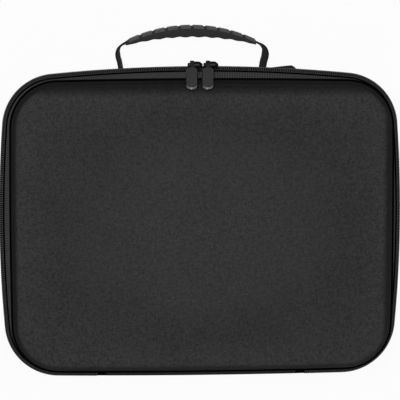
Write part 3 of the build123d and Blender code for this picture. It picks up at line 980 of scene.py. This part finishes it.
def strap(side, sign, twist):
    """One end of the webbing, from inside the grip, over a soft bend and down to the case."""
    turn = asin(GRIP_HALF / GRIP_ARC)
    end_x = GRIP_HALF
    end_y = GRIP_MID_Y - GRIP_ARC * (1 - cos(turn))
    knots = np.array([
        (end_x - 16.0, end_y + 4.6), (end_x - 6.0, end_y + 2.0), (end_x, end_y), (end_x + 5.0, end_y - 2.6),
        (end_x + 7.6, end_y - 7.0), (end_x + 7.4, end_y - 13.0), (end_x + 5.6, end_y - 18.0),
        (end_x + 4.6, STRAP_FOOT_Y),
    ])
    curve = bpy.data.curves.new(side + "_strap_line", "CURVE")
    curve.dimensions = "3D"
    spline = curve.splines.new("NURBS")
    spline.points.add(len(knots) - 1)
    for point, (x, y) in zip(spline.points, knots):
        point.co = (x, y, 0, 1)
    spline.order_u = 3
    spline.use_endpoint_u = True
    spline.resolution_u = 6
    holder = bpy.data.objects.new(side + "_strap_line", curve)
    line = bpy.data.meshes.new_from_object(holder)
    path = np.array([vertex.co[:2] for vertex in line.vertices])
    bpy.data.objects.remove(holder)
    bpy.data.meshes.remove(line)
    ahead = np.gradient(path, axis=0)
    ahead /= np.linalg.norm(ahead, axis=1)[:, None]
    share = np.clip((end_y - path[:, 1]) / (end_y - TWISTED_BY_Y), 0, 1)
    rows = []
    for spot, forward, part in zip(path, ahead, share):
        lean = twist * min(1.0, 2.2 * part)
        normal = np.array([-forward[1], forward[0]])
        row = []
        for across, lift in WEBBING_SECTION:
            out = lift * cos(lean) + across * sin(lean)
            deep = across * cos(lean) - lift * sin(lean)
            x, y = spot + normal * out
            row.append((HANDLE_X + sign * x, y, HANDLE_Z + deep))
        rows.append(row)
    rows = np.array(rows) if sign < 0 else np.array(rows)[:, ::-1]
    piece = skin(side + "_strap", rows, WEBBING, None, wrap=True, caps=(0, len(rows) - 1))
    swap_cloth(piece)
    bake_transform(piece)
    return piece


def patch(side, sign):
    """Sewn-down end of the webbing on the rear half, with a boxed cross of stitches."""
    near = HANDLE_X + sign * PATCH_NEAR
    far = HANDLE_X + sign * PATCH_FAR
    places = RING.above(np.linspace(max(near, far), min(near, far), 25))
    levels = np.linspace(PATCH_LOW + 0.5, PATCH_HIGH - 0.5, 9)
    profile = [(RING, wall_inset(PATCH_LOW), PATCH_LOW)]
    profile += [(RING, wall_inset(z) - PATCH_THICK, z) for z in levels]
    profile += [(RING, wall_inset(PATCH_HIGH), PATCH_HIGH)]
    piece = band(side + "_patch", profile[::-1], places, WEBBING, "rear_case")
    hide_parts(side + "_anchor_patch")
    middle = (near + far) / 2
    corners = [(middle + x, HANDLE_Z + z) for x, z in ((-9.5, -9.5), (9.5, -9.5), (9.5, 9.5), (-9.5, 9.5))]
    runs = [(corners[i], corners[(i + 1) % 4]) for i in range(4)]
    runs += [(corners[0], corners[2]), (corners[1], corners[3])]
    marks = []
    for start, end in runs:
        length = hypot(end[0] - start[0], end[1] - start[1])
        count = int(length / 3.2)
        for number in range(count):
            ends = []
            for share in ((number + 0.12) / count, (number + 0.86) / count):
                x = start[0] + (end[0] - start[0]) * share
                z = start[1] + (end[1] - start[1]) * share
                ends.append(RING.loop(RING.above(np.array([x])), wall_inset(z) - PATCH_THICK - 0.12, z)[0])
            marks.append(ends)
    stitches(side + "_patch_stitches", marks, "rear_case")


def loose_fold():
    """The right patch's outer end, standing off the wall in a shallow fold."""
    rows = []
    for x, lift in (
        (64.0, 1.4), (67.0, 2.5), (71.0, 3.3), (76.0, 4.1), (81.0, 4.9),
        (85.0, 5.5), (87.0, 5.5), (89.5, 4.0), (91.5, 2.4), (93.5, 0.4),
    ):
        place = RING.above(np.array([x]))
        levels = (40.0, 46.0, 52.0, 57.0, 58.2)
        outer = [RING.loop(place, wall_inset(z) - lift, z)[0] for z in levels]
        inner = [RING.loop(place, wall_inset(z) + 0.2, z)[0] for z in reversed(levels)]
        rows.append(outer + inner)
    piece = skin("right_patch_fold", rows, WEBBING, "rear_case", wrap=True, caps=(0, len(rows) - 1))
    swap_cloth(piece)


left_strap = strap("left", -1, radians(12.5))
strap("right", 1, radians(15))
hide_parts("handle_webbing")
patch("left", -1)
patch("right", 1)
loose_fold()


def grip():
    """The moulded grip: an arched bar with chamfered edges, ribs across its top and a scalloped underside."""
    stations = np.linspace(-GRIP_HALF, GRIP_HALF - GRIP_CUT, 485)
    rows = []
    plain = []
    for x in stations:
        share = abs(x) / GRIP_HALF
        middle = GRIP_MID_Y - GRIP_ARC + sqrt(GRIP_ARC**2 - x**2)
        thick = GRIP_END_THICK + (GRIP_THICK - GRIP_END_THICK) * (1 - share**2)
        half = 12.0 - 1.75 * min(1.0, max(0.0, (share - 0.72) / 0.28))
        groove = abs((x + RIB_PITCH / 2) % RIB_PITCH - RIB_PITCH / 2)
        cut = 0.8 * max(0.0, 1 - (groove / 1.6) ** 4)
        plain.append(cut < 0.3 and share < 0.97)
        scallop = 0.8 * (0.5 + 0.5 * cos(2 * pi * x / RIB_PITCH))
        tip = max(0.0, (share - 0.975) / 0.025)
        top = middle + thick / 2 - 0.5 * tip
        under = middle - thick / 2 + scallop * (1 - share**4) + 0.4 * tip
        slant = min(3.0, 0.55 * thick)
        section = [
            (half - 1.4, under), (half - 0.4, under + 0.35), (half, under + 1.3), (half, top - slant),
            (half - 0.6, top - 0.8 * slant - cut), (half - 2.4, top - 0.5 - 1.5 * cut),
            (half - 3.4, top - 0.1 - cut), (half - 5.0, top - cut),
        ]
        rows.append([(x, y, z) for z, y in section] + [(x, y, -z) for z, y in reversed(section)])
    grid = np.array(rows)
    grid[..., 0] += HANDLE_X
    grid[..., 2] += HANDLE_Z
    piece = skin("grip_body", grid, GRIP_RUBBER, "handle", wrap=True, caps=(0, len(rows) - 1))
    # Painted highlight: the top and its chamfers between the grooves take the paler rubber; the grooves keep
    # the darker rubber of the sides, which reads as painted shade in them.
    piece.data.materials.append(GRIP_TOP_HIGHLIGHT)
    for number, face in enumerate(piece.data.polygons):
        row, column = divmod(number, grid.shape[1])
        face.material_index = int(3 <= column <= 11 and row < len(rows) - 1 and plain[row])
    sharpen(piece, 40)
    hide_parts("handle_grip")


grip()


# Inside
CONSOLE_Y = -43.1
TRAY_TOP = 70.0
# Width, length and middle of each bay
BAYS = [(282.0, 158.0, 0.0, CONSOLE_Y), (162.0, 68.0, -56.0, 77.9), (104.0, 68.0, 85.0, 77.9)]
STRAP_HALF = 19.0
STRAP_REACH = 85.0
POCKET_LOW = -132.0
POCKET_HIGH = 30.0
POCKET_INSET = LID_CAVITY_INSET + 0.4
# The pocket's elastic, across and up
ELASTIC_SECTION = [
    (-4.0, 0.0), (-3.7, 0.5), (-2.8, 0.7), (0.0, 0.75), (2.8, 0.7), (3.7, 0.5),
    (4.0, 0.0), (3.7, -0.5), (2.8, -0.65), (0.0, -0.7), (-2.8, -0.65), (-3.7, -0.5),
]


def finished(piece):
    """Puts the result of the modifiers in the piece's own mesh."""
    bpy.context.view_layer.update()
    shown = piece.evaluated_get(bpy.context.evaluated_depsgraph_get())
    mesh = bpy.data.meshes.new_from_object(shown)
    piece.modifiers.clear()
    piece.data = mesh
    return piece


def tray():
    """Die-cut foam under a brushed cover, with every edge eased and a stitch line round each bay."""
    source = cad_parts["foam_tray"]
    mesh = source.data.copy()
    mesh.transform(source.matrix_world)
    mesh.materials.clear()
    mesh.materials.append(FOAM)
    piece = bpy.data.objects.new("tray_foam", mesh)
    bpy.context.collection.objects.link(piece)
    weld = piece.modifiers.new("weld", "REMESH")
    weld.mode = "VOXEL"
    weld.voxel_size = 2.6 * MM
    weld.use_smooth_shade = True
    ease = piece.modifiers.new("ease", "SMOOTH")
    ease.iterations = 5
    finished(piece)
    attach(piece, "rear_case")
    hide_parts("foam_tray")
    marks = []
    for width, length, x, y in BAYS:
        outline, outward = rounded_outline(width + 9.0, length + 9.0, 12.0, 24)
        marks += dashes(np.column_stack([outline + (x, y), np.full(len(outline), TRAY_TOP + 0.05)]), 4.5)
    stitches("tray_stitches", marks, "rear_case")


def dashes(loop, pitch):
    """Pairs of points for stitches along a closed line."""
    line = np.vstack([loop, loop[:1]])
    marks = np.concatenate([[0], np.cumsum(np.linalg.norm(np.diff(line, axis=0), axis=1))])
    count = int(marks[-1] / pitch)
    ends = []
    for share in (0.1, 0.75):
        at = (np.arange(count) + share) * marks[-1] / count
        ends.append(np.stack([np.interp(at, marks, line[:, axis]) for axis in range(3)], axis=1))
    return list(zip(*ends))


def console_strap():
    """Knitted elastic over the console bay, sewn down at both ends."""
    columns = np.linspace(-STRAP_HALF, STRAP_HALF, 15)
    ends = CONSOLE_Y - STRAP_REACH, CONSOLE_Y + STRAP_REACH
    rows = []
    for y in np.linspace(*ends, 86):
        share = (y - CONSOLE_Y) / 79.0
        sag = 1.8 * max(0.0, 1 - share**2)
        rows.append([(x, y, TRAY_TOP + 1.0 - sag - 0.25 * (x / STRAP_HALF) ** 4) for x in columns])
    piece = skin("strap_elastic", rows, ELASTIC, "rear_case")
    thicken(piece, 1.2)
    marks = []
    for y in (ends[0] + 1.4, ends[0] + 4.6, ends[1] - 1.4, ends[1] - 4.6):
        z = TRAY_TOP + 1.65
        marks += [((x, y, z), (x + 2.2, y, z)) for x in np.arange(-17.4, 15.6, 3.0)]
    sewn = stitches("strap_stitches", marks, "rear_case")
    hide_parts("console_strap")


def thicken(piece, thickness):
    """Gives a single layer of cloth its thickness, half to each side."""
    layer = piece.modifiers.new("thickness", "SOLIDIFY")
    layer.thickness = thickness * MM
    layer.offset = 0.0


def lid_width(y, inset):
    """Left and right ends of the lid's mouth at a height up the case."""
    rim = RING.loop(RING.round(2400), inset, 0.0)
    sides = []
    for sign in (-1, 1):
        half = rim[rim[:, 0] * sign > 0]
        half = half[np.argsort(half[:, 1])]
        sides.append(float(np.interp(y, half[:, 1], half[:, 0])))
    return sides


def mesh_pocket():
    """Net pocket across the lower part of the lid, slack in the middle, under an elastic edge."""
    net_z = 93.4
    levels = np.concatenate([np.linspace(POCKET_LOW, -95.0, 22), np.linspace(-90.0, POCKET_HIGH, 26)])
    shares = np.linspace(0.0, 1.0, 61)
    rows = []
    area = 0.0
    for y in levels:
        left, right = lid_width(y, POCKET_INSET)
        x = left + (right - left) * shares
        belly = np.sin(pi * shares) ** 0.7 * sin(pi * (y - POCKET_LOW) / (POCKET_HIGH - POCKET_LOW) * 0.9)
        rows.append(np.column_stack([x, np.full(len(x), y), net_z - 0.9 * belly]))
    for low, high in zip(rows, rows[1:]):
        area += (low[-1, 0] - low[0, 0] + high[-1, 0] - high[0, 0]) / 2 * (high[0, 1] - low[0, 1])
    piece = skin("pocket_net", np.array(rows), NET, "lid")
    left, right = lid_width(POCKET_HIGH, POCKET_INSET)
    edge = []
    for x in np.linspace(left, right, 181):
        gather = 0.35 * sin(x * 1.1) + 0.2 * sin(x * 2.3)
        middle_y = POCKET_HIGH + 4.0
        middle_z = net_z + 0.3 + gather
        edge.append([(x, middle_y + across, middle_z + lift) for across, lift in ELASTIC_SECTION])
    elastic = skin("pocket_elastic", edge, ELASTIC, "lid", wrap=True, caps=(0, len(edge) - 1))
    swap_cloth(elastic)
    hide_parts("mesh_pocket")
    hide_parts("mesh_pocket_elastic")
    area * MM * MM


tray()
console_strap()
mesh_pocket()
for node in ("left_pull_link", "right_pull_link"):
    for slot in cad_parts[node].material_slots:
        slot.material = ENAMEL


# Floor, light and camera
FLOOR_HALF = 6000.0
WHITE_SHARE = 0.95
SENSOR = 36.0
# The picture's width, the focal length and the lens shift, in pixels
PICTURE_PIXELS = 400.0
FOCAL_PIXELS = 2178.0
SHIFT_PIXELS = (-1.6, 23.7)


def studio_floor():
    """Pale floor that the camera and reflections see as nearly white."""
    signs = ((-1, -1), (1, -1), (1, 1), (-1, 1))
    corners = [(x * FLOOR_HALF, y * FLOOR_HALF, 0) for x, y in signs]
    finish = Finish("studio_floor", (0.5, 0.5, 0.5), 0.9)
    path = finish.node("ShaderNodeLightPath", {}, {}, "Is Camera Ray")
    glossy = Strand(finish, path.socket.node.outputs["Is Glossy Ray"])
    through = Strand(finish, path.socket.node.outputs["Is Transmission Ray"])
    seen = path.math("MINIMUM", path + glossy + through, 1.0)
    glow = finish.node("ShaderNodeEmission", {}, {"Color": (1, 1, 1, 1), "Strength": 1.0})
    surface = Strand(finish, finish.surface.outputs[0])
    mixed = finish.node("ShaderNodeMixShader", {}, {0: seen * WHITE_SHARE, 1: surface, 2: glow})
    finish.tree.links.new(mixed.socket, finish.tree.nodes["Material Output"].inputs["Surface"])
    make_object("studio_floor", corners, [[0, 1, 2, 3]], finish.material, smooth=False)


def soft_light(name, place, target, width, height, watts):
    """Rectangular lamp turned to a target."""
    lamp = bpy.data.lights.new(name, "AREA")
    lamp.shape = "RECTANGLE"
    lamp.size = width
    lamp.size_y = height
    lamp.energy = watts
    holder = bpy.data.objects.new(name, lamp)
    holder.location = place
    holder.rotation_euler = (Vector(target) - Vector(place)).to_track_quat("-Z", "Y").to_euler()
    bpy.context.collection.objects.link(holder)


def camera():
    """Long lens above the lid, a little to the handle's side, as in the photograph."""
    azimuth = radians(-3.5)
    elevation = radians(7.28)
    distance = 2.0
    back = Vector((sin(azimuth) * cos(elevation), sin(elevation), cos(azimuth) * cos(elevation)))
    right = Vector((0, 1, 0)).cross(back).normalized()
    up = back.cross(right)
    eye = bpy.data.cameras.new("camera")
    eye.sensor_width = SENSOR
    eye.lens = FOCAL_PIXELS * SENSOR / PICTURE_PIXELS
    eye.shift_x = SHIFT_PIXELS[0] / PICTURE_PIXELS
    eye.shift_y = SHIFT_PIXELS[1] / PICTURE_PIXELS
    eye.clip_end = 50.0
    holder = bpy.data.objects.new("camera", eye)
    turn = Matrix((right, up, back)).transposed().to_4x4()
    holder.matrix_world = Matrix.Translation(Vector((0, 0, 0.1)) + back * distance) @ turn
    bpy.context.collection.objects.link(holder)
    bpy.context.scene.camera = holder


def world_light(level):
    """Even white light from all round."""
    world = bpy.data.worlds.new("studio")
    bpy.context.scene.world = world
    world.use_nodes = True
    world.node_tree.nodes["Background"].inputs["Color"].default_value = (1.0, 1.0, 1.0, 1.0)
    world.node_tree.nodes["Background"].inputs["Strength"].default_value = level


studio_floor()
soft_light("key", (-0.2, 0.35, 2.0), (0, 0, 0.1), 0.5, 0.5, 29.0)
soft_light("low_fill", (0, -1.7, 1.2), (0, 0, 0.1), 1.2, 0.5, 5.0)
soft_light("top", (0.0, 1.7, 1.0), (0, 0.15, 0.08), 1.2, 0.5, 5.0)
soft_light("left", (-1.8, 0.1, 0.8), (0, 0, 0.1), 0.5, 1.2, 8.0)
soft_light("right", (1.8, 0.1, 0.8), (0, 0, 0.1), 0.5, 1.2, 8.0)
world_light(0.03)
camera()
bpy.context.scene.view_settings.view_transform = "Standard"
